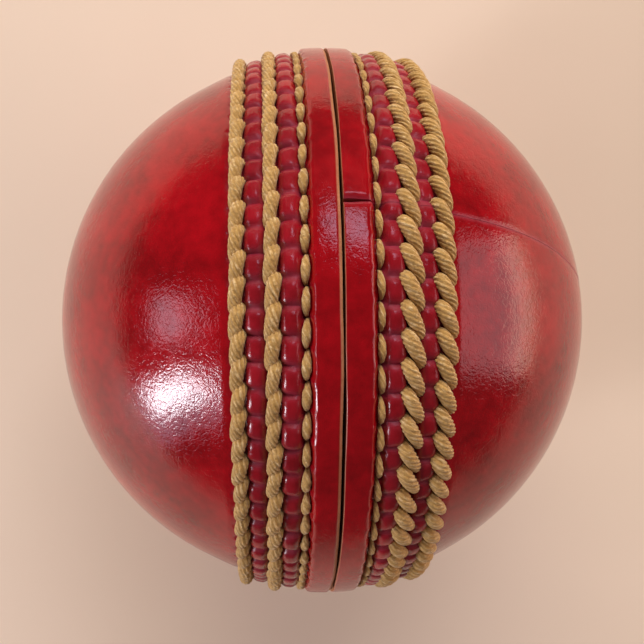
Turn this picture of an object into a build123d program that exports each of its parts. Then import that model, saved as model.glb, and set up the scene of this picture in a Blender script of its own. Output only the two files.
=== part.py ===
from build123d import *
import math
import os

# A four-piece cricket ball: a cork and yarn centre inside four leather quarters, with linings
# and hidden stitches over the quarter seams and six rows of stitches along the main seam.
# The origin is the ball's centre, +X runs through the middle of the right half, the main seam
# lies in the YZ plane and +Z is up. Lengths are millimetres and angles are degrees.

os.makedirs("parts", exist_ok=True)

# Leather cover
cheek_radius = 34.85  # the smooth leather away from the seam
leather_thickness = 3.5
lip_rise = 1.6  # crest of the two lips, above the cheeks
lip_crest_offset = 1.7  # from the seam plane
lip_edge_drop = 0.45  # the lip's rounded edge, below its crest
pillow_rise = 1.2  # leather puckered up between two rows of stitches, above the cheeks
pillow_shoulder = 0.35  # a pillow's edge, below its top
skive_depth = 1.65  # the lips are thinned from inside to make room for the closing thread
skive_offset = 5.2  # from the seam plane
seam_gap = 0.35  # between the lips of the two halves
quarter_gap = 0.25  # between the two quarters of one half
right_quarter_angle = 19.5  # the right half's quarter seam, leaning from +Z towards +Y
left_quarter_angle = right_quarter_angle + 90  # the halves are joined a quarter turn apart

# Rows of stitches along the main seam, given by their distance from the seam plane
closing_offset = 3.65
closing_stitches = 68
closing_thread_radius = 0.475
middle_offset = 7.05
middle_stitches = 74
outer_offset = 10.6
outer_stitches = 78
row_thread_radius = 0.65
row_lean = 0.5  # a slanted stitch starts and ends this far from the middle of its row
stitch_share = 0.62  # the part of the pitch that lies on top of the leather
slit_depth = 2.0  # from the top of a stitch to its hidden part, thread middle to thread middle

# Hidden stitches across each quarter seam
quarter_stitch_pitch = 8.0  # degrees along the seam
quarter_seam_margin = 1.0  # whole leather between the last hidden stitch and the outer row
quarter_thread_radius = 0.35
quarter_lean = 1.6
quarter_stitch_depth = 1.4
quarter_channel_depth = 0.9

# Linings glued over the quarter seams
lining_thickness = 0.6
lining_width = 10.0
lining_end_offset = 6.4  # from the seam plane

# Centre of the ball
cork_centre_radius = 12.5
winding_count = 5
cork_layer_thickness = 1.4
yarn_width = 1.6
yarn_relief = 0.25  # depth of the furrow between two turns of yarn
cork_layer_gap = 0.3  # between the two cups of one cork layer

# Clearances
thread_clearance = 0.05
hole_clearance = 0.06
layer_clearance = 0.05
bend_margin = 0.05  # a thread's bends are this much wider than its own radius

inner_radius = cheek_radius - leather_thickness
skived_radius = inner_radius + skive_depth
lining_outer_radius = inner_radius - layer_clearance
lining_inner_radius = lining_outer_radius - lining_thickness
centre_radius = lining_inner_radius - layer_clearance

seam_frame = Plane.YZ
right, left = 1, -1


def latitude_of(offset):
    """The angle above the seam plane of a row on the cheeks' sphere."""
    return math.degrees(math.asin(offset / cheek_radius))


def angle_of(length):
    """The angle that a length spans on the cheeks' sphere."""
    return math.degrees(length / cheek_radius)


def ball_point(radius, latitude, longitude):
    """A point around a ring whose axis is the local Z axis."""
    lat, lon = math.radians(latitude), math.radians(longitude)
    across = radius * math.cos(lat)
    return Vector(across * math.cos(lon), across * math.sin(lon), radius * math.sin(lat))


def section_point(side, radius, latitude):
    """The same point in the cover's cross-section, where X is the ring's axis."""
    lat = math.radians(latitude)
    return (side * radius * math.sin(lat), radius * math.cos(lat))


def section_point_at(side, radius, offset):
    """A point of the cross-section given by its distance from the seam plane."""
    return (side * offset, math.sqrt(radius**2 - offset**2))


def thread_along(points, thread_radius):
    """A round thread along straight runs that are joined by tangent bends."""
    with BuildPart() as thread:
        with BuildLine() as path:
            FilletPolyline(*points, radius=thread_radius + bend_margin)
        route = path.wires()[0]
        with BuildSketch(Plane(origin=route @ 0, z_dir=route % 0)):
            Circle(thread_radius)
        sweep(path=route)
    return thread.part


def overcast_ends(latitude, lean, side, pitch):
    """Where one slanted stitch comes up, goes down, and where the next one comes up."""
    rise = (latitude - side * lean, 0)
    dive = (latitude + side * lean, stitch_share * pitch)
    next_rise = (latitude - side * lean, pitch)
    return rise, dive, next_rise


def overcast_stitch(latitude, lean, side, pitch, top_radius, hidden_radius, thread_radius):
    """One turn of thread: up a slit, over the leather on a slant and down the next slit."""
    rise, dive, next_rise = overcast_ends(latitude, lean, side, pitch)
    last_dive = ball_point(hidden_radius, dive[0], dive[1] - pitch)
    hidden_rise = ball_point(hidden_radius, *rise)
    hidden_dive = ball_point(hidden_radius, *dive)
    points = [
        (last_dive + hidden_rise) * 0.5,
        hidden_rise,
        ball_point(top_radius, *rise),
        ball_point(top_radius, *dive),
        hidden_dive,
        (hidden_dive + ball_point(hidden_radius, *next_rise)) * 0.5,
    ]
    return thread_along(points, thread_radius)


def slit_cutter(latitude, lean, side, pitch, floor_radius, mouth_radius, thread_radius):
    """The awl slit that one stitch goes down and the next one comes up."""
    rise, dive, next_rise = overcast_ends(latitude, lean, side, pitch)
    start = ball_point(floor_radius, *dive)
    end = ball_point(floor_radius, *next_rise)
    middle = (start + end) * 0.5
    with BuildPart() as cutter:
        with BuildSketch(Plane(origin=middle, x_dir=end - start, z_dir=middle.normalized())):
            SlotCenterToCenter((end - start).length, 2 * (thread_radius + hole_clearance))
        extrude(amount=mouth_radius - floor_radius)
    return cutter.part


# The slanted rows: every thread rests on the level of the cheeks and hides in its slits.
row_top_radius = cheek_radius + row_thread_radius + thread_clearance
row_hidden_radius = row_top_radius - slit_depth
row_slit_floor = row_hidden_radius - row_thread_radius - hole_clearance
slit_mouth = cheek_radius + lip_rise + row_thread_radius
row_groove = angle_of(row_lean + row_thread_radius + 2 * thread_clearance)
slanted_rows = {
    "middle": (latitude_of(middle_offset), middle_stitches),
    "outer": (latitude_of(outer_offset), outer_stitches),
}


def cut_slits(side):
    """Cut the slits of the slanted rows through the top of one half's leather."""
    for latitude, count in slanted_rows.values():
        cutter = slit_cutter(
            side * latitude,
            angle_of(row_lean),
            side,
            360 / count,
            row_slit_floor,
            slit_mouth,
            row_thread_radius,
        )
        with Locations(seam_frame):
            with PolarLocations(0, count):
                add(cutter, mode=Mode.SUBTRACT)


# The closing thread: over one lip along its row, down, under both lips and up the other one.
closing_latitude = latitude_of(closing_offset)
closing_pitch = 360 / closing_stitches
closing_top_radius = cheek_radius + closing_thread_radius + thread_clearance
closing_hidden_radius = skived_radius - closing_thread_radius - thread_clearance
closing_groove = angle_of(closing_thread_radius + 2 * thread_clearance)
half_turn = 0.5  # the right lip's stitches are half a pitch behind the left lip's
closing_start = {left: 0.0, right: half_turn}


def closing_ends(side):
    """Where the closing thread comes up and goes down on one side, in pitches."""
    return closing_start[side], closing_start[side] + stitch_share


def cut_closing_holes(side):
    """Cut the holes of the closing thread through one lip."""
    with BuildPart() as cutter:
        for share in closing_ends(side):
            floor = ball_point(inner_radius, side * closing_latitude, share * closing_pitch)
            with BuildSketch(Plane(origin=floor, z_dir=floor.normalized())):
                Circle(closing_thread_radius + hole_clearance)
            extrude(amount=slit_mouth - inner_radius)
    with Locations(seam_frame):
        with PolarLocations(0, closing_stitches):
            add(cutter.part, mode=Mode.SUBTRACT)


def groove(side, before, start, end):
    """The floor that one row of stitches lies on, up to the edge of the next pillow."""
    return Polyline(
        before @ 1,
        section_point(side, cheek_radius, start),
        section_point(side, cheek_radius, end),
        section_point(side, cheek_radius + pillow_rise - pillow_shoulder, end),
    )


def pillow(side, before, start, end):
    """The leather's bulge between two rows of stitches."""
    return ThreePointArc(
        before @ 1,
        section_point(side, cheek_radius + pillow_rise, (start + end) / 2),
        section_point(side, cheek_radius + pillow_rise - pillow_shoulder, end),
    )


def leather_half(side):
    """Both quarters of one half as one cup, with its lip, pillows, grooves and slits."""
    middle_latitude = slanted_rows["middle"][0]
    outer_latitude = slanted_rows["outer"][0]
    lip_radius = cheek_radius + lip_rise
    lip_end = closing_latitude - closing_groove
    inner_pillow_start = closing_latitude + closing_groove
    inner_pillow_end = middle_latitude - row_groove
    outer_pillow_start = middle_latitude + row_groove
    outer_pillow_end = outer_latitude - row_groove
    skive_latitude = math.degrees(math.asin(skive_offset / inner_radius))
    with BuildPart() as half:
        with BuildSketch():
            with BuildLine():
                lip_face = Line(
                    section_point_at(side, skived_radius, seam_gap / 2),
                    section_point_at(side, lip_radius - lip_edge_drop, seam_gap / 2),
                )
                lip = ThreePointArc(
                    lip_face @ 1,
                    section_point_at(side, lip_radius, lip_crest_offset),
                    section_point(side, cheek_radius + pillow_rise - pillow_shoulder, lip_end),
                )
                closing_floor = groove(side, lip, lip_end, inner_pillow_start)
                inner_pillow = pillow(side, closing_floor, inner_pillow_start, inner_pillow_end)
                middle_floor = groove(side, inner_pillow, inner_pillow_end, outer_pillow_start)
                outer_pillow = pillow(side, middle_floor, outer_pillow_start, outer_pillow_end)
                outer_edge = Line(
                    outer_pillow @ 1, section_point(side, cheek_radius, outer_pillow_end)
                )
                cheek = ThreePointArc(
                    outer_edge @ 1,
                    section_point(side, cheek_radius, (outer_pillow_end + 90) / 2),
                    section_point(side, cheek_radius, 90),
                )
                pole = Line(cheek @ 1, section_point(side, inner_radius, 90))
                flesh = ThreePointArc(
                    pole @ 1,
                    section_point(side, inner_radius, (skive_latitude + 90) / 2),
                    section_point(side, inner_radius, skive_latitude),
                )
                step = Line(flesh @ 1, section_point_at(side, skived_radius, skive_offset))
                ThreePointArc(
                    step @ 1,
                    section_point_at(side, skived_radius, skive_offset / 2),
                    lip_face @ 0,
                )
            make_face()
        revolve(axis=Axis.X)
        cut_slits(side)
        cut_closing_holes(side)
    return half.part


# The quarter seams: each ring frame has its X axis at the pole and its Z axis across the seam.
quarter_top_radius = inner_radius + quarter_thread_radius + 2 * thread_clearance
quarter_hidden_radius = quarter_top_radius + quarter_stitch_depth
quarter_slit_floor = quarter_hidden_radius + quarter_thread_radius + hole_clearance
quarter_mouth = inner_radius - quarter_thread_radius
quarter_lean_angle = angle_of(quarter_lean)
quarter_angles = {right: right_quarter_angle, left: left_quarter_angle}
row_side = slanted_rows["outer"][0] + row_groove
seam_reach = 90 - row_side - angle_of(quarter_thread_radius + quarter_seam_margin)
quarter_stitches = 2 * int(seam_reach / quarter_stitch_pitch)


def quarter_frame(side):
    """The plane of one half's quarter seam."""
    angle = math.radians(quarter_angles[side])
    across = Vector(0, math.cos(angle), -math.sin(angle))
    return Plane(origin=(0, 0, 0), x_dir=(side, 0, 0), z_dir=across)


def along_quarter_seam():
    """One location for each hidden stitch, spread evenly about the pole."""
    span = quarter_stitch_pitch * quarter_stitches
    return PolarLocations(
        0, quarter_stitches, start_angle=-span / 2, angular_range=span, endpoint=False
    )


def leather_quarter(half, side, keep):
    """One quarter of the cover, with its half of the hidden stitches' channel and slits."""
    frame = quarter_frame(side)
    toward = 1 if keep == Keep.TOP else -1
    slit = slit_cutter(
        0,
        quarter_lean_angle,
        right,
        quarter_stitch_pitch,
        quarter_mouth,
        quarter_slit_floor,
        quarter_thread_radius,
    )
    channel_width = 2 * (quarter_lean + quarter_thread_radius + 2 * thread_clearance)
    with BuildPart() as quarter:
        add(half)
        split(bisect_by=frame.offset(toward * quarter_gap / 2), keep=keep)
        with Locations(frame):
            Cylinder(inner_radius + quarter_channel_depth, channel_width, mode=Mode.SUBTRACT)
            with along_quarter_seam():
                add(slit, mode=Mode.SUBTRACT)
    return quarter.part


pieces = {}

halves = {side: leather_half(side) for side in (right, left)}
pieces["right_quarter_back"] = leather_quarter(halves[right], right, Keep.TOP)
pieces["right_quarter_front"] = leather_quarter(halves[right], right, Keep.BOTTOM)
pieces["left_quarter_bottom"] = leather_quarter(halves[left], left, Keep.TOP)
pieces["left_quarter_top"] = leather_quarter(halves[left], left, Keep.BOTTOM)

# Four slanted rows, each one thread all the way round.
for side, side_name in ((right, "right"), (left, "left")):
    for row_name, (latitude, count) in slanted_rows.items():
        stitch = overcast_stitch(
            side * latitude,
            angle_of(row_lean),
            side,
            360 / count,
            row_top_radius,
            row_hidden_radius,
            row_thread_radius,
        )
        with BuildPart() as row_thread:
            with Locations(seam_frame):
                with PolarLocations(0, count):
                    add(stitch)
        pieces[f"{side_name}_{row_name}_row_thread"] = row_thread.part

# The two inner rows are one thread that sews the halves together.
left_rise, left_dive = closing_ends(left)
right_rise, right_dive = closing_ends(right)
closing_route = [
    (closing_top_radius, left, (left_rise + left_dive) / 2),
    (closing_top_radius, left, left_dive),
    (closing_hidden_radius, left, left_dive),
    (closing_hidden_radius, right, right_rise),
    (closing_top_radius, right, right_rise),
    (closing_top_radius, right, right_dive),
    (closing_hidden_radius, right, right_dive),
    (closing_hidden_radius, left, left_rise + 1),
    (closing_top_radius, left, left_rise + 1),
    (closing_top_radius, left, (left_rise + left_dive) / 2 + 1),
]
closing_stitch = thread_along(
    [
        ball_point(radius, side * closing_latitude, share * closing_pitch)
        for radius, side, share in closing_route
    ],
    closing_thread_radius,
)
with BuildPart() as closing_thread:
    with Locations(seam_frame):
        with PolarLocations(0, closing_stitches):
            add(closing_stitch)
pieces["closing_thread"] = closing_thread.part

# The hidden stitches and the lining of each quarter seam.
quarter_stitch = overcast_stitch(
    0,
    quarter_lean_angle,
    right,
    quarter_stitch_pitch,
    quarter_top_radius,
    quarter_hidden_radius,
    quarter_thread_radius,
)
for side, side_name in ((right, "right"), (left, "left")):
    with BuildPart() as quarter_thread:
        with Locations(quarter_frame(side)):
            with along_quarter_seam():
                add(quarter_stitch)
    pieces[f"{side_name}_quarter_seam_thread"] = quarter_thread.part
    with BuildPart() as lining:
        Sphere(lining_outer_radius)
        Sphere(lining_inner_radius, mode=Mode.SUBTRACT)
        with Locations(quarter_frame(side)):
            with Locations((lining_end_offset, 0, 0)):
                Box(
                    lining_outer_radius,
                    2 * lining_outer_radius,
                    lining_width,
                    align=(Align.MIN, Align.CENTER, Align.CENTER),
                    mode=Mode.INTERSECT,
                )
    pieces[f"{side_name}_seam_lining"] = lining.part

# The centre: a cork ball, then windings of yarn with a layer of cork between each two.
with BuildPart() as cork_centre:
    Sphere(cork_centre_radius)
pieces["cork_centre"] = cork_centre.part

cork_layers = winding_count - 1
clearances = (winding_count + cork_layers) * layer_clearance
yarn_room = centre_radius - cork_centre_radius - cork_layers * cork_layer_thickness - clearances
winding_thickness = yarn_room / winding_count
winding_frames = (Plane.XY, Plane.YZ, Plane.ZX)  # each winding is wound about its frame's Y axis


def yarn_winding(inside, outside, frame):
    """A layer of yarn, its turns side by side, with a hole half a yarn wide at each pole."""
    turns = round(math.pi * outside / yarn_width)
    turn_angle = 180 / turns
    furrow_radius = outside - yarn_relief
    furrow_angles = [(turn + 0.5) * turn_angle for turn in range(turns)]
    furrows = [section_point(right, furrow_radius, angle) for angle in furrow_angles]
    inner_start = section_point(right, inside, furrow_angles[0])
    inner_end = section_point(right, inside, furrow_angles[-1])
    with BuildPart() as winding:
        with BuildSketch(frame):
            with BuildLine():
                for turn in range(1, turns):
                    crest = section_point(right, outside, turn * turn_angle)
                    ThreePointArc(furrows[turn - 1], crest, furrows[turn])
                Line(furrows[-1], inner_end)
                ThreePointArc(inner_end, (inside, 0), inner_start)
                Line(inner_start, furrows[0])
            make_face()
        revolve(axis=Axis((0, 0, 0), frame.y_dir))
    return winding.part


def cork_cups(inside, outside, frame):
    """One layer of cork: two thin cups that meet in the frame's XZ plane."""
    edge = cork_layer_gap / 2
    crown = section_point(right, outside, 45)
    hollow = section_point(right, inside, 45)
    with BuildPart() as cups:
        with BuildSketch(frame):
            with BuildLine():
                outer = ThreePointArc((math.sqrt(outside**2 - edge**2), edge), crown, (0, outside))
                Line(outer @ 1, (0, inside))
                inner = ThreePointArc((0, inside), hollow, (math.sqrt(inside**2 - edge**2), edge))
                Line(inner @ 1, outer @ 0)
            make_face()
        revolve(axis=Axis((0, 0, 0), frame.y_dir))
        mirror(about=Plane(origin=(0, 0, 0), z_dir=frame.y_dir))
    return cups.part


layer_radius = cork_centre_radius
for layer in range(winding_count):
    inside = layer_radius + layer_clearance
    outside = inside + winding_thickness
    frame = winding_frames[layer % len(winding_frames)]
    pieces[f"yarn_winding_{layer + 1}"] = yarn_winding(inside, outside, frame)
    layer_radius = outside
    if layer < cork_layers:
        inside = layer_radius + layer_clearance
        outside = inside + cork_layer_thickness
        pieces[f"cork_layer_{layer + 1}"] = cork_cups(inside, outside, frame)
        layer_radius = outside

for name, piece in pieces.items():
    piece.label = name
    export_step(piece, f"parts/{name}.step")
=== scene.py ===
import math

import bpy
import numpy as np
from bpy.props import FloatProperty, FloatVectorProperty, IntProperty, PointerProperty
from bpy.types import Operator, Panel, PropertyGroup
from mathutils import Matrix, Vector


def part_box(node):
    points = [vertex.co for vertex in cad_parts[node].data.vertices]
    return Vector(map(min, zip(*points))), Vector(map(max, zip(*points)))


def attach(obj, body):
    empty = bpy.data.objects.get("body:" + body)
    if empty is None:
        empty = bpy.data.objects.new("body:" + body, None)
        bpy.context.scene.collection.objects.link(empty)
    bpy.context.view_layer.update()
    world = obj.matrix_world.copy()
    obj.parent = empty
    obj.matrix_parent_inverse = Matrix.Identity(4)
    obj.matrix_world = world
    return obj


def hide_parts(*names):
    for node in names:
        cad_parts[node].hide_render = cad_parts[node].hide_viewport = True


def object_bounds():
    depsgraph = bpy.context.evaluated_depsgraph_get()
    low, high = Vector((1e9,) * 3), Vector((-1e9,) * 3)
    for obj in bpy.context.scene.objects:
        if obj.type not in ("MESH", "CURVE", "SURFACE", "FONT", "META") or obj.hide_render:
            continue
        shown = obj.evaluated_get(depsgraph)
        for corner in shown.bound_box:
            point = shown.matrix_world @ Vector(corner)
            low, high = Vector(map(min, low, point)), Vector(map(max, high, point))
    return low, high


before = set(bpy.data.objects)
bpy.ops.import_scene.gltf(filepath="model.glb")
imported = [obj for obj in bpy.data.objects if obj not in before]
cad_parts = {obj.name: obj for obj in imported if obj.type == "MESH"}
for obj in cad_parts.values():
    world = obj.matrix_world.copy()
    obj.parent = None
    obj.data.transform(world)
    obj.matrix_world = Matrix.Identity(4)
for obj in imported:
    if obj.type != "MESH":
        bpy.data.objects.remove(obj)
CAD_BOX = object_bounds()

# A cricket ball: four quarters of glossy leather, one thread that sews the two halves together
# and four rows of slanted stitches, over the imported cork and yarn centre. The ball's centre is
# the origin, the seam lies in the YZ plane and every length is in metres.

bl_info = {
    "name": "Cricket ball",
    "version": (1, 0, 0),
    "blender": (4, 5, 0),
    "location": "3D View > Sidebar > Ball",
    "description": "Builds the leather, the stitches and the stage around the packed ball",
    "category": "Object",
}

MM = 0.001
RIGHT, LEFT = 1, -1

# What the frame says: the sphere of the cheeks, the lips and the rows of stitches.
CHEEK_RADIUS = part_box("right_quarter_back")[1].x
LIP_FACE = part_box("right_quarter_back")[0].x
FLOOR_LEVEL = CAD_BOX[0].z
CLOSING_THREAD_RADIUS = 0.475 * MM


def row_place(node):
    """How far along the cheeks' sphere a row's middle lies from the seam plane."""
    low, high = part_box(node)
    return CHEEK_RADIUS * math.asin(abs(low.x + high.x) / 2 / CHEEK_RADIUS)


CLOSING_PLACE = CHEEK_RADIUS * math.asin(
    (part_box("closing_thread")[1].x - CLOSING_THREAD_RADIUS) / CHEEK_RADIUS
)
MIDDLE_PLACE = row_place("right_middle_row_thread")
OUTER_PLACE = row_place("right_outer_row_thread")

# The quarter seams, as longitudes about the X axis from +Y towards +Z.
RIGHT_JOINT = math.radians(70.5)
LEFT_JOINT = math.radians(-19.5)
QUARTERS = {
    "right_quarter_back": (RIGHT, RIGHT_JOINT - math.pi),
    "right_quarter_front": (RIGHT, RIGHT_JOINT),
    "left_quarter_top": (LEFT, LEFT_JOINT),
    "left_quarter_bottom": (LEFT, LEFT_JOINT + math.pi),
}


# ---------------------------------------------------------------- properties


def length(name, description, default):
    return FloatProperty(
        name=name, description=description, default=default, unit="LENGTH", precision=6
    )


def colour(name, description, default):
    return FloatVectorProperty(
        name=name, description=description, default=default, subtype="COLOR", size=3, min=0, max=1
    )


class BallSizes(PropertyGroup):
    lip_height: length("Lip height", "Crest of the lips above the cheeks", 1.5 * MM)
    lip_width: length("Lip width", "From the seam plane to the inner stitches", 3.2 * MM)
    left_bevel: length("Left bevel", "Raw cut edge of the left lip", 0.34 * MM)
    right_bevel: length("Right bevel", "Raw cut edge of the right lip", 0.08 * MM)
    inner_pillow: length("Inner pillow", "Height of the leather behind the closing row", 1.2 * MM)
    outer_pillow: length("Outer pillow", "Height of the leather before the outer row", 1.05 * MM)
    joint_gap: length("Joint gap", "Gap between two quarters at the lip", 0.3 * MM)
    closing_stitches: IntProperty(name="Closing stitches", description="Round the seam", default=68)
    middle_stitches: IntProperty(name="Middle stitches", description="In one row", default=74)
    outer_stitches: IntProperty(name="Outer stitches", description="In one row", default=78)
    right_thread: length("Right thread", "Radius of the right half's thread", 0.75 * MM)
    left_thread: length("Left thread", "Radius of the left half's thread", 0.74 * MM)
    closing_thread: length("Closing thread", "Radius of the thread between the halves", 0.5 * MM)


class BallColours(PropertyGroup):
    leather: colour("Leather", "Lacquered crimson", (0.37, 0.0013, 0.006))
    leather_deep: colour("Deep leather", "Under thick lacquer", (0.18, 0.0004, 0.0025))
    # Painted reflection: the dusty pink stands in for the lavender light that the lacquer mirrors
    # in the creases and round the stitches.
    leather_crease_sheen: colour("Crease sheen", "Creases between the stitches", (0.26, 0.03, 0.055))
    leather_raw: colour("Raw leather", "Cut edges and flesh side", (0.55, 0.25, 0.12))
    thread: colour("Thread", "Waxed linen", (0.62, 0.375, 0.12))
    # Painted shade: a darker colour laid into the furrows between the plies, where shade falls.
    thread_furrow_shade: colour("Thread furrows", "Between the plies", (0.36, 0.19, 0.05))
    quarter_thread: colour("Quarter thread", "Thin linen inside", (0.6, 0.52, 0.38))
    yarn: colour("Yarn", "Worsted round the cork", (0.62, 0.57, 0.48))
    cork: colour("Cork", "Layers and centre", (0.42, 0.24, 0.11))
    floor: colour("Floor", "Plain pale ground", (0.79, 0.64, 0.49))


# ---------------------------------------------------------------- shader helpers


class Wire:
    """A shader socket that adds maths nodes when it is used in an expression."""

    def __init__(self, maker, socket):
        self.maker = maker
        self.socket = socket

    def maths(self, operation, first, second):
        return self.maker.node(
            "ShaderNodeMath", {"operation": operation}, {0: first, 1: second}, out=0
        )

    def __add__(self, other):
        return self.maths("ADD", self, other)

    def __radd__(self, other):
        return self.maths("ADD", other, self)

    def __mul__(self, other):
        return self.maths("MULTIPLY", self, other)

    def __rmul__(self, other):
        return self.maths("MULTIPLY", other, self)


class Maker:
    """One material's node tree, with its shader already in place."""

    def __init__(self, name):
        self.material = bpy.data.materials.new(name)
        self.material.use_nodes = True
        self.tree = self.material.node_tree
        self.shader = self.tree.nodes["Principled BSDF"]

    def node(self, kind, settings=None, inputs=None, out=0):
        """Any node, from its type, its settings and its sockets' values or links."""
        made = self.tree.nodes.new(kind)
        for key, value in (settings or {}).items():
            setattr(made, key, value)
        for key, value in (inputs or {}).items():
            if value is not None:
                self.feed(made.inputs[key], value)
        return Wire(self, made.outputs[out])

    def feed(self, socket, value):
        if isinstance(value, Wire):
            self.tree.links.new(value.socket, socket)
        elif socket.type == "RGBA":
            socket.default_value = (*value, 1)
        else:
            socket.default_value = value

    def set(self, **sockets):
        """Set or link the shader's own sockets, named with underscores for spaces."""
        for key, value in sockets.items():
            self.feed(self.shader.inputs[key.replace("_", " ")], value)
        return self.material

    def place(self):
        return self.node("ShaderNodeTexCoord", out="Object")

    def ply_place(self):
        """Millimetres along a twisted thread, and shares of the way round it."""
        return self.node("ShaderNodeUVMap", {"uv_map": "Plies"}, out="UV")

    def mapped(self, vector, scale):
        return self.node("ShaderNodeMapping", None, {"Vector": vector, "Scale": scale})

    def attribute(self, name):
        return self.node("ShaderNodeAttribute", {"attribute_name": name}, out="Fac")

    def noise(self, vector, cell, detail, distortion=0):
        """Clouds as large as the cell, from 0 to 1."""
        inputs = {"Vector": vector, "Scale": 1 / cell, "Detail": detail, "Distortion": distortion}
        return self.node("ShaderNodeTexNoise", None, inputs)

    def noise_shift(self, place):
        """Coordinates pushed about by noise, so that a cell pattern isn't regular."""
        inputs = {"Vector": place, "Scale": 1 / GRAIN_SHIFT_CELL}
        cloud = self.node("ShaderNodeTexNoise", None, inputs, out=1)
        inputs = {0: cloud, 1: (GRAIN_SHIFT, GRAIN_SHIFT, GRAIN_SHIFT), 2: place}
        return self.node("ShaderNodeVectorMath", {"operation": "MULTIPLY_ADD"}, inputs)

    def cracks(self, vector, cell):
        """The distance to the edges of a pattern of cells."""
        settings = {"feature": "DISTANCE_TO_EDGE"}
        return self.node("ShaderNodeTexVoronoi", settings, {"Vector": vector, "Scale": 1 / cell})

    def range(self, value, low, high, to_low, to_high):
        """The value, mapped from low to high onto to_low to to_high."""
        inputs = {0: value, 1: low, 2: high, 3: to_low, 4: to_high}
        return self.node("ShaderNodeMapRange", None, inputs)

    def mix(self, factor, first, second):
        inputs = {"Factor": factor, 6: first, 7: second}
        return self.node("ShaderNodeMix", {"data_type": "RGBA"}, inputs, out=2)

    def bump(self, height, distance, strength=1.0, normal=None):
        inputs = {"Height": height, "Distance": distance, "Strength": strength, "Normal": normal}
        return self.node("ShaderNodeBump", None, inputs)


# ---------------------------------------------------------------- materials

# Second shades, mixed with the colours that a user sets.
CUT_HIDE = (0.34, 0.12, 0.05)
THREAD_SHADE = (0.46, 0.27, 0.08)
THREAD_FIBRE = (0.9, 0.7, 0.38)
THREAD_SOIL = (0.3, 0.17, 0.05)
LINEN_SHADE = (0.47, 0.38, 0.25)
LINEN_SOIL = (0.3, 0.22, 0.13)
YARN_SHADE = (0.46, 0.4, 0.31)
YARN_SHADOW = (0.25, 0.2, 0.14)
CORK_SHADE = (0.22, 0.11, 0.05)
CORK_PALE = (0.55, 0.36, 0.19)
CORK_PIT = (0.06, 0.03, 0.015)
LINING_SHADE = (0.4, 0.24, 0.13)

THREAD_NAME = "Waxed linen thread"

# The gloss of the lacquer, from its brightest patches to its dullest.
GLOSS_LOW, GLOSS_HIGH = 0.07, 0.14
CREASE_DULL = 0.3
RAW_DULL = 0.5
GRAIN_SHIFT_CELL = 1.5 * MM
GRAIN_SHIFT = 0.6 * MM


def leather_material(colours):
    """Crimson lacquer over fine grain, duller in the creases and with a painted pinkish reflection
    there, and tan where the hide is cut.
    """
    make = Maker("Crimson leather")
    place = make.place()
    raw = make.attribute("raw")
    crease = make.attribute("crease")
    clouds = make.noise(place, 9 * MM, 4)
    mottle = make.noise(place, 1.3 * MM, 5)
    waves = make.noise(place, 0.5 * MM, 2, 1.2)
    grain = make.cracks(make.noise_shift(place), 0.75 * MM)
    fine = make.noise(place, 0.16 * MM, 3)
    tone = make.range(clouds * 0.65 + mottle * 0.35, 0.35, 0.65, 0, 1)
    lacquer = make.mix(tone, tuple(colours.leather_deep), tuple(colours.leather))
    # Painted reflection: a dusty pink is mixed into the creases and round the stitches in place of
    # the lavender light mirrored there; the crease mask also makes the lacquer duller below.
    crease_sheen_share = make.range(mottle, 0.3, 0.6, 0.35, 0.85)
    lacquer = make.mix(crease * crease_sheen_share, lacquer, tuple(colours.leather_crease_sheen))
    patches = make.noise(place, 0.5 * MM, 4)
    hide = make.mix(patches, CUT_HIDE, tuple(colours.leather_raw))
    skin = make.mix(raw, lacquer, hide)
    dull = make.range(mottle, 0.3, 0.7, GLOSS_LOW, GLOSS_HIGH)
    roughness = dull + crease * CREASE_DULL + raw * RAW_DULL
    wrinkles = make.bump(make.range(grain, 0, 0.14, 0, 1), 0.01 * MM, 0.5)
    ripples = make.bump(mottle, 0.05 * MM, 0.5, wrinkles)
    ripples = make.bump(waves, 0.035 * MM, 0.6, ripples)
    pores = make.bump(fine, 0.012 * MM, 0.6, ripples)
    return make.set(Base_Color=skin, Roughness=roughness, Normal=pores, Specular_IOR_Level=0.5)


def thread_material(colours):
    """Waxed linen: pale plies with painted shade in the furrows between them, and fine fibres along
    them.
    """
    make = Maker(THREAD_NAME)
    place = make.place()
    plies = make.ply_place()
    furrow = make.attribute("furrow")
    stain = make.noise(place, 2.6 * MM, 3)
    patch = make.noise(place, 0.7 * MM, 3)
    fibre = make.noise(make.mapped(plies, (1.6, 12, 1)), 1.0, 5, 0.6)
    fuzz = make.noise(place, 0.3 * MM, 4)
    tone = make.range(stain * 0.5 + patch * 0.5, 0.36, 0.64, 0, 1)
    body = make.mix(tone, THREAD_SHADE, tuple(colours.thread))
    body = make.mix(make.range(fibre, 0.5, 0.7, 0, 0.75), body, THREAD_FIBRE)
    body = make.mix(make.range(fuzz, 0.52, 0.36, 0, 0.6), body, THREAD_SOIL)
    # Painted shade: the furrows between the plies are darkened where shade falls.
    body = make.mix(furrow * 0.7, body, tuple(colours.thread_furrow_shade))
    fibres = make.bump(fibre, 0.2 * MM, 0.8, make.bump(fuzz, 0.12 * MM, 0.8))
    return make.set(
        Base_Color=body,
        Roughness=make.range(patch, 0.3, 0.7, 0.62, 0.8),
        Normal=fibres,
        Sheen_Weight=0.2,
        Specular_IOR_Level=0.2,
    )


def quarter_thread_material(colours):
    """The quarter seams' thin waxed linen, pale and a little fibrous."""
    make = Maker("Quarter seam linen")
    place = make.place()
    stain = make.noise(place, 2 * MM, 3)
    fibre = make.noise(make.mapped(place, (1, 1, 4)), 0.25 * MM, 4)
    body = make.mix(stain, LINEN_SHADE, tuple(colours.quarter_thread))
    body = make.mix(make.range(fibre, 0.5, 0.35, 0, 0.5), body, LINEN_SOIL)
    return make.set(
        Base_Color=body,
        Roughness=make.range(stain, 0.3, 0.7, 0.6, 0.8),
        Normal=make.bump(fibre, 0.1 * MM),
        Sheen_Weight=0.2,
    )


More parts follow.
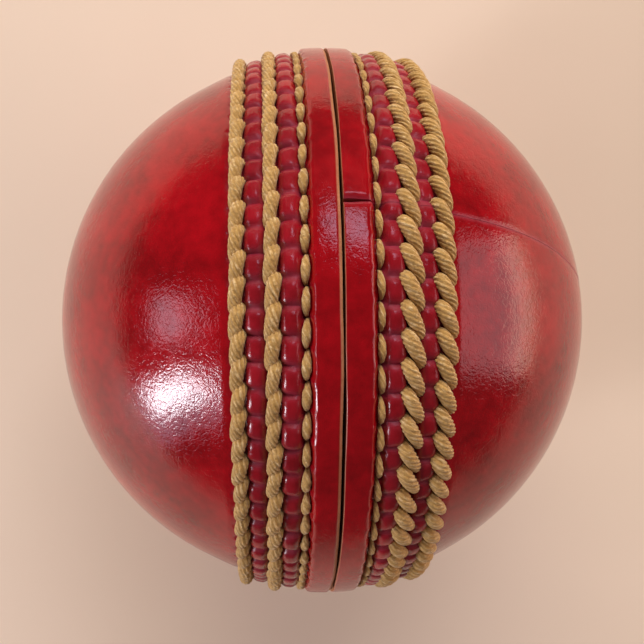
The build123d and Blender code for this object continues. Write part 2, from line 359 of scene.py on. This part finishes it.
def yarn_material(colours):
    """Undyed worsted, fuzzy and uneven."""
    make = Maker("Worsted yarn")
    place = make.place()
    fuzz = make.noise(place, 0.5 * MM, 6)
    shade = make.noise(place, 6 * MM, 2)
    body = make.mix(make.range(shade, 0.3, 0.7, 0, 1), YARN_SHADE, tuple(colours.yarn))
    body = make.mix(make.range(fuzz, 0.3, 0.5, 0.5, 0), body, YARN_SHADOW)
    return make.set(
        Base_Color=body, Roughness=0.9, Normal=make.bump(fuzz, 0.3 * MM), Sheen_Weight=0.3
    )


def cork_material(colours):
    """Pressed cork, its granules of several browns."""
    make = Maker("Pressed cork")
    place = make.place()
    inputs = {"Vector": place, "Scale": 1 / (1.8 * MM)}
    granules = make.node("ShaderNodeTexVoronoi", None, inputs, out=1)
    pits = make.noise(place, 0.9 * MM, 5)
    body = make.mix(make.noise(place, 1.2 * MM, 3), CORK_SHADE, tuple(colours.cork))
    body = make.mix(make.range(granules, 0.2, 0.9, 0, 0.6), body, CORK_PALE)
    body = make.mix(make.range(pits, 0.3, 0.42, 0.9, 0), body, CORK_PIT)
    return make.set(Base_Color=body, Roughness=0.85, Normal=make.bump(pits, 0.3 * MM))


def hide_material(colours):
    """The lining's undyed leather, suede on both sides."""
    make = Maker("Undyed lining leather")
    place = make.place()
    nap = make.noise(place, 0.25 * MM, 5)
    body = make.mix(make.noise(place, 4 * MM, 3), LINING_SHADE, tuple(colours.leather_raw))
    return make.set(Base_Color=body, Roughness=0.85, Normal=make.bump(nap, 0.08 * MM))


def floor_material(colours):
    """A plain pale ground with the faintest unevenness."""
    make = Maker("Pale ground")
    cloud = make.noise(make.place(), 30 * MM, 2)
    pale = tuple(colours.floor)
    deeper = tuple(0.95 * part for part in pale)
    return make.set(Base_Color=make.mix(cloud, deeper, pale), Roughness=0.7)


# ---------------------------------------------------------------- shape helpers


def start_clean():
    if bpy.context.object and bpy.context.object.mode != "OBJECT":
        bpy.ops.object.mode_set(mode="OBJECT")
    bpy.ops.object.select_all(action="DESELECT")


def vertex_array(mesh):
    places = np.empty(len(mesh.vertices) * 3, np.float32)
    mesh.vertices.foreach_get("co", places)
    return places.reshape(-1, 3).astype(float)


def put_vertices(mesh, places):
    mesh.vertices.foreach_set("co", np.asarray(places, np.float32).ravel())
    mesh.update()


def point_values(mesh, name, values):
    """Store one number for each vertex, for a material to read."""
    attribute = mesh.attributes.new(name, "FLOAT", "POINT")
    attribute.data.foreach_set("value", np.asarray(values, np.float32))


def finish_piece(piece, name, material, slot, *nodes):
    """Name a piece, give it its material and hand it over in place of the CAD nodes."""
    piece.name = name
    piece.data.name = name
    piece.data.materials.clear()
    piece.data.materials.append(material)
    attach(piece, "root")
    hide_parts(*nodes)
    return piece


def waviness(angle, seed, lowest, highest):
    """A smooth closed wave about a ring, from -1 to 1."""
    rng = np.random.default_rng(seed)
    waves = np.arange(lowest, highest)
    total = np.zeros_like(angle)
    for count, phase, weight in zip(
        waves, rng.uniform(0, 2 * math.pi, len(waves)), rng.uniform(0.3, 1, len(waves))
    ):
        total = total + weight * np.sin(count * angle + phase)
    return total / np.sqrt(len(waves))


def shoulder(place, start, width):
    """0 before start and 1 after start plus width, rounded like a quarter circle."""
    share = np.clip((place - start) / width, 0, 1)
    return np.sqrt(1 - (1 - share) ** 2)


def plateau(place, start, end, width):
    """1 between start and end, rounded down to 0 at both."""
    return shoulder(place, start, width) * shoulder(-place, -end, width)


def dip(distance, width):
    """1 at no distance, and about a third at the width."""
    return np.exp(-((distance / width) ** 2))


def shares(longitude, count, phase=0.0):
    """Where each point lies in its stitch, from 0 to 1, and the stitch's number."""
    turns = longitude / (2 * math.pi) * count - phase
    number = np.floor(turns)
    return turns - number, number.astype(int) % count


# ---------------------------------------------------------------- leather

CLOSING_PHASE = {LEFT: 0.0, RIGHT: 0.5}  # shares of the pitch, where a lip's beads start
BEAD_SHARE = 0.86  # the part of the pitch that a bead of the closing thread covers
BEAD_FLOOR = 0.42 * MM  # the leather that the beads lie on, above the cheeks
HOLE_WIDTH = 0.34 * MM
LIP_ROUNDING = 0.75 * MM
BEAD_REACH = 0.42 * MM  # from the middle of the closing row to the pillows beside it
ROW_REACH = 0.62 * MM  # from the middle of a slanted row to the pillows beside it
ROW_EDGE = 0.85 * MM  # from the middle of a slanted row to the slits of its stitches
PULL_DEPTH = 0.22 * MM  # how far a stitch pulls the leather down beside its slits
ROW_PHASE = 0.05  # share of the pitch, where a row's first stitch starts
JOINT_ROUNDING = 0.3 * MM
SKIVED_RADIUS = CHEEK_RADIUS - 1.85 * MM
FLESH_RADIUS = CHEEK_RADIUS - 3.5 * MM
SKIVE_PLACE = 5.2 * MM


def pillow_row(place, longitude, seed, start, end, height, count, floor):
    """Leather puckered between two rows of stitches, one soft block for each stitch."""
    share, number = shares(longitude, count, ROW_PHASE)
    rng = np.random.default_rng(seed)
    tall = 1 + rng.normal(0, 0.09, count)[number]
    lean = rng.normal(0, 0.05, count)[number]
    across = (place - start) / (end - start)
    along = np.clip(np.abs(2 * (share + lean * (across - 0.5)) - 1), 0, 1)
    block = np.clip(1 - along**3.2, 0, 1) ** 0.8
    rounded = plateau(place, start, end, 0.42 * (end - start))
    rise = (height * tall - floor) * rounded * (0.52 + 0.48 * block)
    band = plateau(place, start - 0.4 * MM, end + 0.4 * MM, 0.4 * MM)
    return rise, np.clip(0.2 + 1.2 * (1 - block), 0, 1) * band


def leather_relief(sizes, side, place, longitude):
    """Height of the leather above the cheeks, and how deep in a crease each point is."""
    seed = 10 + side
    wobble = waviness(longitude, seed, 5, 40)
    share, _ = shares(longitude, sizes.closing_stitches, CLOSING_PHASE[side])
    at_hole = np.abs(share - (BEAD_SHARE + 1) / 2)
    at_hole = np.minimum(at_hole, 1 - at_hole)
    pitch = 2 * math.pi * CHEEK_RADIUS / sizes.closing_stitches
    hole = dip(at_hole * pitch, HOLE_WIDTH)

    lip_end = sizes.lip_width + 0.05 * MM * wobble + 0.16 * MM * hole
    lip = shoulder(lip_end - place, 0, LIP_ROUNDING)
    crown = 1 - ((place - 0.55 * sizes.lip_width) / sizes.lip_width) ** 2
    height = BEAD_FLOOR + (sizes.lip_height - BEAD_FLOOR) * lip * (0.9 + 0.1 * crown)
    bevel = sizes.left_bevel if side == LEFT else sizes.right_bevel
    bevel = bevel * (1 + 0.25 * waviness(longitude, seed + 5, 8, 60))
    cut = np.clip((LIP_FACE + bevel - place) / bevel, 0, 1)
    height = height - 0.75 * bevel * cut

    floor = BEAD_FLOOR * (1 - shoulder(place, CLOSING_PLACE + 0.4 * MM, 2.2 * MM))
    height = np.where(place > lip_end, floor, height)
    inner, inner_crease = pillow_row(
        place, longitude, seed + 20, CLOSING_PLACE + BEAD_REACH, MIDDLE_PLACE - ROW_REACH,
        sizes.inner_pillow, sizes.middle_stitches, floor,
    )
    outer, outer_crease = pillow_row(
        place, longitude, seed + 30, MIDDLE_PLACE + ROW_REACH, OUTER_PLACE - ROW_REACH,
        sizes.outer_pillow, sizes.outer_stitches, floor,
    )
    height = height + inner + outer
    # The crease mask, which the leather's finish turns into a painted pinkish reflection and duller
    # lacquer, covers the gaps between the pillows, the closing holes and the leather along each
    # slanted row.
    crease = inner_crease + outer_crease
    beads = dip(place - CLOSING_PLACE, BEAD_REACH)
    height = height - 0.75 * MM * hole * beads
    crease = crease + hole * beads

    rows = ((MIDDLE_PLACE, sizes.middle_stitches), (OUTER_PLACE, sizes.outer_stitches))
    for row, count in rows:
        share, _ = shares(longitude, count, ROW_PHASE)
        near = np.minimum(share, 1 - share) * 2 * math.pi * CHEEK_RADIUS / count
        for edge in (row - ROW_EDGE, row + ROW_EDGE):
            pull = dip(near, 0.4 * MM) * dip(place - edge, 0.35 * MM)
            height = height - PULL_DEPTH * pull
            crease = crease + 0.6 * pull
        crease = crease + 0.8 * dip(place - row, 0.75 * MM)
    swell = shoulder(place, OUTER_PLACE + 0.75 * MM, 1.2 * MM)
    fade = np.clip(1 - (place - OUTER_PLACE - 1.9 * MM) / (4 * MM), 0, 1)
    height = height + 0.14 * MM * swell * fade**2
    return height, np.clip(crease, 0, 1)


def quarter_outline(side):
    """The closed outline of the cover in its section: outside, pole, flesh side, lip face."""
    spacing = 0.17 * MM
    band_end = OUTER_PLACE + 2.6 * MM
    pole = CHEEK_RADIUS * math.pi / 2
    band = np.arange(LIP_FACE, band_end, spacing)
    edge = LIP_FACE + np.array([0.03, 0.07, 0.11]) * MM
    steps = np.linspace(0, 1, 30)[1:]
    cheek = band[-1] + (pole - band[-1]) * steps ** 1.25
    outside = np.sort(np.concatenate([band, edge]))
    angles = np.concatenate([outside, cheek]) / CHEEK_RADIUS
    skive = math.asin(SKIVE_PLACE / FLESH_RADIUS)
    inner = np.linspace(math.pi / 2, skive, 16)
    lip_side = np.linspace(SKIVE_PLACE, LIP_FACE, 5)
    points = [(side * CHEEK_RADIUS * math.sin(a), CHEEK_RADIUS * math.cos(a)) for a in angles]
    points[-1] = (side * CHEEK_RADIUS, 0.0)
    points += [(side * FLESH_RADIUS * math.sin(a), FLESH_RADIUS * math.cos(a)) for a in inner]
    points[len(angles)] = (side * FLESH_RADIUS, 0.0)
    points += [(side * x, math.sqrt(SKIVED_RADIUS**2 - x**2)) for x in lip_side]
    points.append((side * LIP_FACE, CHEEK_RADIUS - 0.9 * MM))
    return points


# A quarter is spun as one slice of a few steps, and the slice is then repeated.
SLICE_STEPS = 22
SLICES = 20
MERGE_DISTANCE = 0.001 * MM


def spun_quarter(side, start):
    """The outline, spun half a turn about the X axis and closed at both joints."""
    points = quarter_outline(side)
    slack = 0.012 * MM / CHEEK_RADIUS
    first = start + slack
    slice_angle = (math.pi - 2 * slack) / SLICES
    start_clean()
    bpy.ops.mesh.primitive_circle_add(vertices=len(points), radius=CHEEK_RADIUS)
    piece = bpy.context.object
    ring = [(x, y * math.cos(first), y * math.sin(first)) for x, y in points]
    put_vertices(piece.data, ring)
    bpy.ops.object.mode_set(mode="EDIT")
    bpy.ops.mesh.select_all(action="SELECT")
    about = {"center": (0, 0, 0), "axis": (1, 0, 0)}
    bpy.ops.mesh.spin(steps=SLICE_STEPS, angle=-slice_angle, **about)
    bpy.ops.mesh.select_all(action="SELECT")
    bpy.ops.mesh.spin(
        steps=SLICES - 1, dupli=True, angle=-slice_angle * (SLICES - 1), **about
    )
    bpy.ops.mesh.select_all(action="SELECT")
    bpy.ops.mesh.remove_doubles(threshold=MERGE_DISTANCE)
    bpy.ops.mesh.delete_loose(use_verts=True, use_edges=True, use_faces=False)
    bpy.ops.mesh.select_all(action="DESELECT")
    bpy.ops.mesh.select_mode(type="EDGE")
    bpy.ops.mesh.select_non_manifold(
        extend=False, use_wire=False, use_boundary=True, use_multi_face=False,
        use_non_contiguous=False, use_verts=False,
    )
    bpy.ops.mesh.edge_face_add()
    bpy.ops.mesh.select_all(action="SELECT")
    bpy.ops.mesh.normals_make_consistent(inside=False)
    bpy.ops.object.mode_set(mode="OBJECT")
    return piece


def leather_quarter(sizes, material, name, side, start):
    """One quarter of the cover, spun smooth and then raised into its lip, pillows and creases."""
    piece = spun_quarter(side, start)
    mesh = piece.data
    places = vertex_array(mesh)
    radius = np.linalg.norm(places, axis=1)
    outside = radius > CHEEK_RADIUS - 0.05 * MM
    longitude = np.arctan2(places[:, 2], places[:, 1])
    latitude = np.arctan2(np.abs(places[:, 0]), np.hypot(places[:, 1], places[:, 2]))
    place = latitude * CHEEK_RADIUS
    height, crease = leather_relief(sizes, side, place, longitude)

    # Near each joint the edge is rounded over, and at the lip the two quarters stand apart.
    turn = (longitude - start + math.pi / 2) % (2 * math.pi) - math.pi / 2
    to_start = turn * CHEEK_RADIUS * np.cos(latitude)
    to_end = (math.pi - turn) * CHEEK_RADIUS * np.cos(latitude)
    lip_share = 1 - shoulder(place, sizes.lip_width - 0.6 * MM, 2.5 * MM)
    near = dip(to_start, JOINT_ROUNDING) + dip(to_end, JOINT_ROUNDING)
    height = height - near * (0.035 * MM + 0.2 * MM * lip_share)
    # Through the crease mask the joints also get the painted pinkish reflection and the duller
    # lacquer.
    crease = np.clip(crease + 0.75 * near, 0, 1)
    reach = np.clip(np.cos(latitude) * 8, 0, 1)
    part = sizes.joint_gap / 2 * (lip_share + 0.06) * reach
    part = part * (1 + 0.3 * np.sin(place / (0.5 * MM)))
    shift = part * (np.exp(-to_start / (1.4 * MM)) - np.exp(-to_end / (1.4 * MM)))
    longitude = longitude + shift / (CHEEK_RADIUS * np.maximum(np.cos(latitude), 0.1))

    # The lips lean a little towards and away from each other round the seam.
    sway = 0.07 * MM * waviness(longitude, 70 + side, 2, 22) - 0.03 * MM
    sway = np.where(radius > CHEEK_RADIUS - 1.2 * MM, sway, 0)
    sway = sway * np.clip(1 - place / (2.2 * MM), 0, 1)

    raised = np.where(outside, radius + height, radius)
    across = raised * np.cos(latitude)
    along = np.abs(raised * np.sin(latitude)) + np.maximum(sway, -0.1 * MM)
    along = np.where(np.abs(places[:, 0]) < 1e-9, 0, np.maximum(along, 0.05 * MM))
    moved = np.stack(
        [side * along, across * np.cos(longitude), across * np.sin(longitude)], axis=1
    )
    put_vertices(mesh, moved)
    bevel = sizes.left_bevel if side == LEFT else sizes.right_bevel
    raw = np.where(outside, np.clip((LIP_FACE + bevel * 0.9 - place) / (0.08 * MM), 0, 1), 1)
    point_values(mesh, "raw", raw)
    point_values(mesh, "crease", np.where(outside, crease, 0))
    start_clean()
    piece.select_set(True)
    bpy.context.view_layer.objects.active = piece
    bpy.ops.object.shade_smooth_by_angle(angle=math.radians(50))
    return finish_piece(piece, f"{name}_leather", material, "cover_leather", name)


class BALL_OT_leather_cover(Operator):
    """Make the four quarters of leather, with their lips, pillows and creases"""

    bl_idname = "ball.leather_cover"
    bl_label = "Leather cover"

    def execute(self, context):
        sizes = context.scene.ball_sizes
        material = leather_material(context.scene.ball_colours)
        for name, (side, start) in QUARTERS.items():
            leather_quarter(sizes, material, name, side, start)
        return {"FINISHED"}


# ---------------------------------------------------------------- threads


def cubic_loop(controls, steps):
    """Points along the closed smooth curve that the controls pull into shape."""
    before, here = np.roll(controls, 1, axis=0), controls
    after, beyond = np.roll(controls, -1, axis=0), np.roll(controls, -2, axis=0)
    rows = []
    for step in range(steps):
        t = step / steps
        weights = (
            (1 - t) ** 3 / 6,
            (3 * t**3 - 6 * t**2 + 4) / 6,
            (-3 * t**3 + 3 * t**2 + 3 * t + 1) / 6,
            t**3 / 6,
        )
        corners = zip(weights, (before, here, after, beyond))
        rows.append(sum(weight * corner for weight, corner in corners))
    return np.stack(rows, axis=1).reshape(-1, controls.shape[1])


def ply_profile(radius, plies, corners):
    """The thread's section as a closed curve, and how deep in a furrow each of its points is."""
    data = bpy.data.curves.new("ply_profile", "CURVE")
    data.dimensions = "2D"
    spline = data.splines.new("POLY")
    count = plies * corners
    spline.points.add(count - 1)
    depths = []
    for index in range(count):
        angle = 2 * math.pi * index / count
        bulge = abs(math.sin(plies * angle / 2))
        out = radius * (0.84 + 0.16 * bulge**0.7)
        depths.append(1 - bulge)
        spline.points[index].co = (out * math.cos(angle), out * math.sin(angle), 0, 1)
    spline.use_cyclic_u = True
    profile = bpy.data.objects.new("ply_profile", data)
    bpy.context.scene.collection.objects.link(profile)
    return profile, np.array(depths)


def twisted_thread(controls, radius, plies, corners, lay, steps):
    """A closed twisted thread through the controls, whose last column is its thickness."""
    route = cubic_loop(controls, steps)
    count = len(route)
    gaps = np.linalg.norm(np.roll(route[:, :3], -1, axis=0) - route[:, :3], axis=1)
    run = np.concatenate([[0], np.cumsum(gaps)[:-1]])
    total = gaps.sum()
    turns = round(total / lay)
    start_clean()
    profile, depths = ply_profile(radius, plies, corners)
    data = bpy.data.curves.new("thread", "CURVE")
    data.dimensions = "3D"
    data.twist_mode = "MINIMUM"
    data.bevel_mode = "OBJECT"
    data.bevel_object = profile
    spline = data.splines.new("POLY")
    spline.points.add(count - 1)
    places = np.c_[route[:, :3], np.ones(count)]
    tilts = -2 * math.pi * turns * run / total
    spline.points.foreach_set("co", places.astype(np.float32).ravel())
    spline.points.foreach_set("radius", route[:, 3].astype(np.float32))
    spline.points.foreach_set("tilt", tilts.astype(np.float32))
    spline.use_cyclic_u = True
    piece = bpy.data.objects.new("thread", data)
    bpy.context.scene.collection.objects.link(piece)
    piece.select_set(True)
    bpy.context.view_layer.objects.active = piece
    bpy.ops.object.convert(target="MESH")
    piece = bpy.context.object
    bpy.data.objects.remove(profile)
    mesh = piece.data
    around = len(depths)
    if len(mesh.vertices) != count * around:
        raise RuntimeError(f"the thread has {len(mesh.vertices)} corners, not {count * around}")
    point_values(mesh, "furrow", np.tile(depths, count))
    ply_map(mesh, count, around, run / MM)
    mesh.flip_normals()
    bpy.ops.object.shade_smooth()
    return piece


def ply_map(mesh, count, around, run):
    """A UV map whose U runs along the thread in millimetres and whose V goes once round it."""
    while mesh.uv_layers:
        mesh.uv_layers.remove(mesh.uv_layers[0])
    layer = mesh.uv_layers.new(name="Plies")
    corners = np.empty(len(mesh.loops), np.int32)
    mesh.loops.foreach_get("vertex_index", corners)
    ring, place = corners // around, corners % around
    u = run[ring]
    v = place / around
    quads = corners.reshape(-1, 4)
    ring_wrap = (quads // around).max(axis=1) - (quads // around).min(axis=1) > 1
    place_wrap = (quads % around).max(axis=1) - (quads % around).min(axis=1) > 1
    u = u + np.where(np.repeat(ring_wrap, 4) & (ring == 0), run[-1] + run[1], 0)
    v = v + np.where(np.repeat(place_wrap, 4) & (place == 0), 1.0, 0)
    layer.data.foreach_set("uv", np.stack([u, v], axis=1).astype(np.float32).ravel())


def ball_place(side, place, longitude, height):
    """A point at a row's distance from the seam plane, at a height above the cheeks."""
    radius = CHEEK_RADIUS + height
    latitude = place / CHEEK_RADIUS
    across = radius * math.cos(latitude)
    return (
        side * radius * math.sin(latitude),
        across * math.cos(longitude),
        across * math.sin(longitude),
    )


# The threads' twist: how many plies show, the corners of each in the section, the length of
# one turn and the steps between two controls.
ROW_TWIST = {"plies": 8, "corners": 4, "lay": 5.0 * MM, "steps": 3}
CLOSING_TWIST = {"plies": 4, "corners": 5, "lay": 4.2 * MM, "steps": 2}
ROW_SPREAD = {RIGHT: 1.0, LEFT: 0.32}  # how far a stitch slants across its row
STITCH_RADIUS = 0.72  # the thread radius that the next table's heights suit, in millimetres

# One slanted stitch, as (share of the pitch, towards the outside, height, thickness). It comes
# up beside the seam, swells into a rounded head, runs outwards and dives under the next head.
SLANTED_STITCH = (
    (0.02, -0.60, -0.70, 0.60),
    (0.02, -0.80, 0.20, 0.88),
    (0.13, -0.76, 0.88, 1.06),
    (0.34, -0.44, 1.04, 1.10),
    (0.58, -0.02, 0.98, 1.04),
    (0.82, 0.40, 0.80, 0.94),
    (1.06, 0.74, 0.52, 0.80),
    (1.22, 0.88, 0.02, 0.62),
    (1.20, 0.60, -0.90, 0.52),
    (1.10, -0.15, -1.05, 0.52),
)


def slanted_row(side, place, count, radius, spread, seed):
    """All the stitches of one row, as the controls of one closed thread."""
    rng = np.random.default_rng(seed)
    pitch = 2 * math.pi / count
    controls = []
    for stitch in range(count):
        drift = rng.normal(0, 0.035, 3)
        fat = 1 + rng.normal(0, 0.035)
        for share, out, height, thick in SLANTED_STITCH:
            longitude = (stitch + share + drift[0] * 0.6) * pitch
            aside = place + (out * spread + drift[1]) * MM
            up = (height + drift[2]) * radius / STITCH_RADIUS
            swell = 0.95 + (thick - 0.95) * (spread if height > 0 else 1)
            controls.append((*ball_place(side, aside, longitude, up), swell * fat))
    return np.array(controls)


class BALL_OT_slanted_rows(Operator):
    """Make the four rows of slanted stitches, each one twisted thread round the ball"""

    bl_idname = "ball.slanted_rows"
    bl_label = "Slanted rows"

    def execute(self, context):
        sizes = context.scene.ball_sizes
        material = thread_material(context.scene.ball_colours)
        for side, side_name in ((RIGHT, "right"), (LEFT, "left")):
            radius = sizes.right_thread if side == RIGHT else sizes.left_thread
            spread = ROW_SPREAD[side]
            for row_name, place, count in (
                ("middle", MIDDLE_PLACE, sizes.middle_stitches),
                ("outer", OUTER_PLACE, sizes.outer_stitches),
            ):
                seed = 100 + 10 * side + count
                controls = slanted_row(side, place, count, radius, spread, seed)
                piece = twisted_thread(controls, radius, **ROW_TWIST)
                node = f"{side_name}_{row_name}_row_thread"
                finish_piece(piece, f"{node}_plies", material, "seam_thread", node)
        return {"FINISHED"}


# One bead of the closing thread on a lip, as (share of the pitch, height, thickness), and the
# hidden run that crosses under both lips to the other side.
BEAD = (
    (-0.03, -0.70, 0.42),
    (0.00, 0.25, 0.50),
    (0.12, 0.62, 0.72),
    (0.28, 0.78, 0.98),
    (0.45, 0.82, 1.06),
    (0.62, 0.76, 0.98),
    (0.76, 0.58, 0.70),
    (0.86, 0.20, 0.50),
    (0.89, -0.70, 0.42),
)
BEAD_MIDDLE = 0.43  # the share of the pitch at the middle of a bead, and of its lean
HIDDEN_REACH = (0.85, 0.3, -0.3, -0.85)  # shares of the way from the seam plane to the beads
HIDDEN_START = 0.89  # the share of the pitch where the hidden run leaves a bead
HIDDEN_RUN = 0.21  # shares of the pitch that it runs back along the seam for each unit of reach
HIDDEN_DEPTH = -2.35  # millimetres below the cheeks' sphere
HIDDEN_THICKNESS = 0.6
RIGHT_SLIMNESS = 0.8  # thickness of the right lip's beads, as a share of the left lip's


def closing_controls(sizes):
    """The closing thread's route: a bead on the left lip, under, a bead on the right lip, under."""
    rng = np.random.default_rng(7)
    pitch = 2 * math.pi / sizes.closing_stitches
    controls = []
    for stitch in range(sizes.closing_stitches):
        for side in (LEFT, RIGHT):
            start = stitch + CLOSING_PHASE[side]
            slim = 1.0 if side == LEFT else RIGHT_SLIMNESS
            lean = rng.normal(0.07, 0.03)
            lift = rng.normal(0, 0.03)
            fat = slim * (1 + rng.normal(0, 0.06))
            for share, height, thick in BEAD:
                aside = CLOSING_PLACE + (share - BEAD_MIDDLE) * lean * 2 * MM
                up = (height + lift) * MM
                longitude = (start + share) * pitch
                controls.append((*ball_place(side, aside, longitude, up), thick * fat))
            for reach in HIDDEN_REACH:
                longitude = (start + HIDDEN_START - (1 - reach) * HIDDEN_RUN) * pitch
                aside = side * reach * CLOSING_PLACE
                place = ball_place(1, aside, longitude, HIDDEN_DEPTH * MM)
                controls.append((*place, HIDDEN_THICKNESS))
    return np.array(controls)


class BALL_OT_closing_thread(Operator):
    """Make the thread that sews the two halves together, a bead on each lip in turn"""

    bl_idname = "ball.closing_thread"
    bl_label = "Closing thread"

    def execute(self, context):
        sizes = context.scene.ball_sizes
        material = bpy.data.materials[THREAD_NAME]
        controls = closing_controls(sizes)
        piece = twisted_thread(controls, sizes.closing_thread, **CLOSING_TWIST)
        finish_piece(piece, "closing_thread_plies", material, "seam_thread", "closing_thread")
        return {"FINISHED"}


# ---------------------------------------------------------------- centre

INSIDE_FINISHES = (
    ("cork", cork_material),
    ("yarn_winding", yarn_material),
    ("seam_lining", hide_material),
    ("quarter_seam_thread", quarter_thread_material),
)


class BALL_OT_centre(Operator):
    """Give the cork, the yarn, the linings and the hidden threads their finishes"""

    bl_idname = "ball.centre"
    bl_label = "Centre"

    def execute(self, context):
        for part_name, maker in INSIDE_FINISHES:
            material = maker(context.scene.ball_colours)
            for name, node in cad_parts.items():
                if part_name in name:
                    node.data.materials.clear()
                    node.data.materials.append(material)
        return {"FINISHED"}


# ---------------------------------------------------------------- stage

CAMERA_DISTANCE = 123 * MM
CAMERA_YAW = math.radians(3.6)
CAMERA_ROLL = math.radians(0.7)
CAMERA_LENS = 49.2
CAMERA_SENSOR = 36
FRAMING = Vector((0, -0.25 * MM, 0))
FLOOR_SIZE = 3
SKY_COLOUR = (0.9, 0.82, 0.78, 1)
SKY_STRENGTH = 0.1


def toward(zenith, azimuth):
    """A direction from the ball, given in degrees from straight up and about the Z axis."""
    tilt, turn = math.radians(zenith), math.radians(azimuth)
    return Vector(
        (math.sin(tilt) * math.cos(turn), math.sin(tilt) * math.sin(turn), math.cos(tilt))
    )


def soft_light(name, zenith, azimuth, distance, width, height, power, tint, mirrored):
    """A soft rectangular lamp that faces the ball."""
    data = bpy.data.lights.new(name, "AREA")
    data.shape = "RECTANGLE"
    data.size, data.size_y = width, height
    data.energy = power
    data.color = tint
    lamp = bpy.data.objects.new(name, data)
    lamp.location = toward(zenith, azimuth) * distance
    lamp.rotation_euler = lamp.location.to_track_quat("Z", "Y").to_euler()
    lamp.visible_glossy = mirrored
    bpy.context.scene.collection.objects.link(lamp)


# Each lamp's name, direction (degrees from straight up and about the Z axis), distance, width,
# height, power, tint and whether the gloss mirrors it.
LAMPS = (
    ("key", 62, 88, 0.72, 0.8, 0.6, 6.8, (1, 0.94, 0.87), False),
    ("fill", 50, -10, 0.8, 0.6, 0.6, 1.0, (1, 0.9, 0.82), False),
    ("window", 73, -155, 0.6, 0.09, 0.26, 1.9, (0.94, 0.94, 1), True),
    ("window_glow", 74, -152, 0.62, 0.22, 0.4, 0.6, (0.86, 0.76, 1), True),
    ("left", 66, 179, 0.7, 0.18, 0.2, 0.5, (0.95, 0.7, 0.85), True),
    ("sky", 36, 74, 0.7, 0.26, 0.14, 0.5, (0.8, 0.75, 1), True),
    ("side", 72, 4, 0.7, 0.55, 0.42, 1.4, (0.98, 0.68, 0.72), True),
    ("lamp", 92, 4, 0.7, 0.5, 0.3, 1.2, (1, 0.66, 0.45), True),
)


def add_camera():
    data = bpy.data.cameras.new("camera")
    data.lens = CAMERA_LENS
    data.sensor_width = CAMERA_SENSOR
    data.clip_start = 5 * MM
    camera = bpy.data.objects.new("camera", data)
    back = Vector((-math.sin(CAMERA_YAW), 0, math.cos(CAMERA_YAW)))
    level_right = Vector((math.cos(CAMERA_YAW), 0, math.sin(CAMERA_YAW)))
    level_up = Vector((0, 1, 0))
    right = math.cos(CAMERA_ROLL) * level_right - math.sin(CAMERA_ROLL) * level_up
    up = math.sin(CAMERA_ROLL) * level_right + math.cos(CAMERA_ROLL) * level_up
    place = back * CAMERA_DISTANCE + FRAMING
    turn = Matrix((right, up, back)).transposed().to_4x4()
    camera.matrix_world = Matrix.Translation(place) @ turn
    bpy.context.scene.collection.objects.link(camera)
    bpy.context.scene.camera = camera


class BALL_OT_stage(Operator):
    """Make the ground, the lamps and the camera"""

    bl_idname = "ball.stage"
    bl_label = "Stage"

    def execute(self, context):
        start_clean()
        bpy.ops.mesh.primitive_plane_add(size=FLOOR_SIZE, location=(0, 0, 0))
        floor = context.object
        floor.name = "floor"
        places = vertex_array(floor.data)
        places[:, 2] = FLOOR_LEVEL
        put_vertices(floor.data, places)
        floor.data.materials.append(floor_material(context.scene.ball_colours))
        world = bpy.data.worlds.new("studio")
        world.use_nodes = True
        sky = world.node_tree.nodes["Background"]
        sky.inputs["Color"].default_value = SKY_COLOUR
        sky.inputs["Strength"].default_value = SKY_STRENGTH
        context.scene.world = world
        context.scene.view_settings.view_transform = "Standard"
        for lamp in LAMPS:
            soft_light(*lamp)
        add_camera()
        return {"FINISHED"}


# ---------------------------------------------------------------- panel and registration

OPERATORS = (
    BALL_OT_leather_cover,
    BALL_OT_slanted_rows,
    BALL_OT_closing_thread,
    BALL_OT_centre,
    BALL_OT_stage,
)


class BALL_PT_panel(Panel):
    """The ball's pieces, in the order that they are made"""

    bl_idname = "BALL_PT_panel"
    bl_label = "Cricket ball"
    bl_space_type = "VIEW_3D"
    bl_region_type = "UI"
    bl_category = "Ball"

    def draw(self, context):
        for group in (context.scene.ball_sizes, context.scene.ball_colours):
            for key in group.__annotations__:
                self.layout.prop(group, key)
        for operator in OPERATORS:
            self.layout.operator(operator.bl_idname)


CLASSES = (BallSizes, BallColours, *OPERATORS, BALL_PT_panel)


def register():
    for item in CLASSES:
        bpy.utils.register_class(item)
    bpy.types.Scene.ball_sizes = PointerProperty(type=BallSizes)
    bpy.types.Scene.ball_colours = PointerProperty(type=BallColours)


def unregister():
    del bpy.types.Scene.ball_sizes
    del bpy.types.Scene.ball_colours
    for item in reversed(CLASSES):
        bpy.utils.unregister_class(item)


def main():
    register()
    bpy.ops.ball.leather_cover()
    bpy.ops.ball.slanted_rows()
    bpy.ops.ball.closing_thread()
    bpy.ops.ball.centre()
    bpy.ops.ball.stage()


if __name__ == "__main__":
    main()
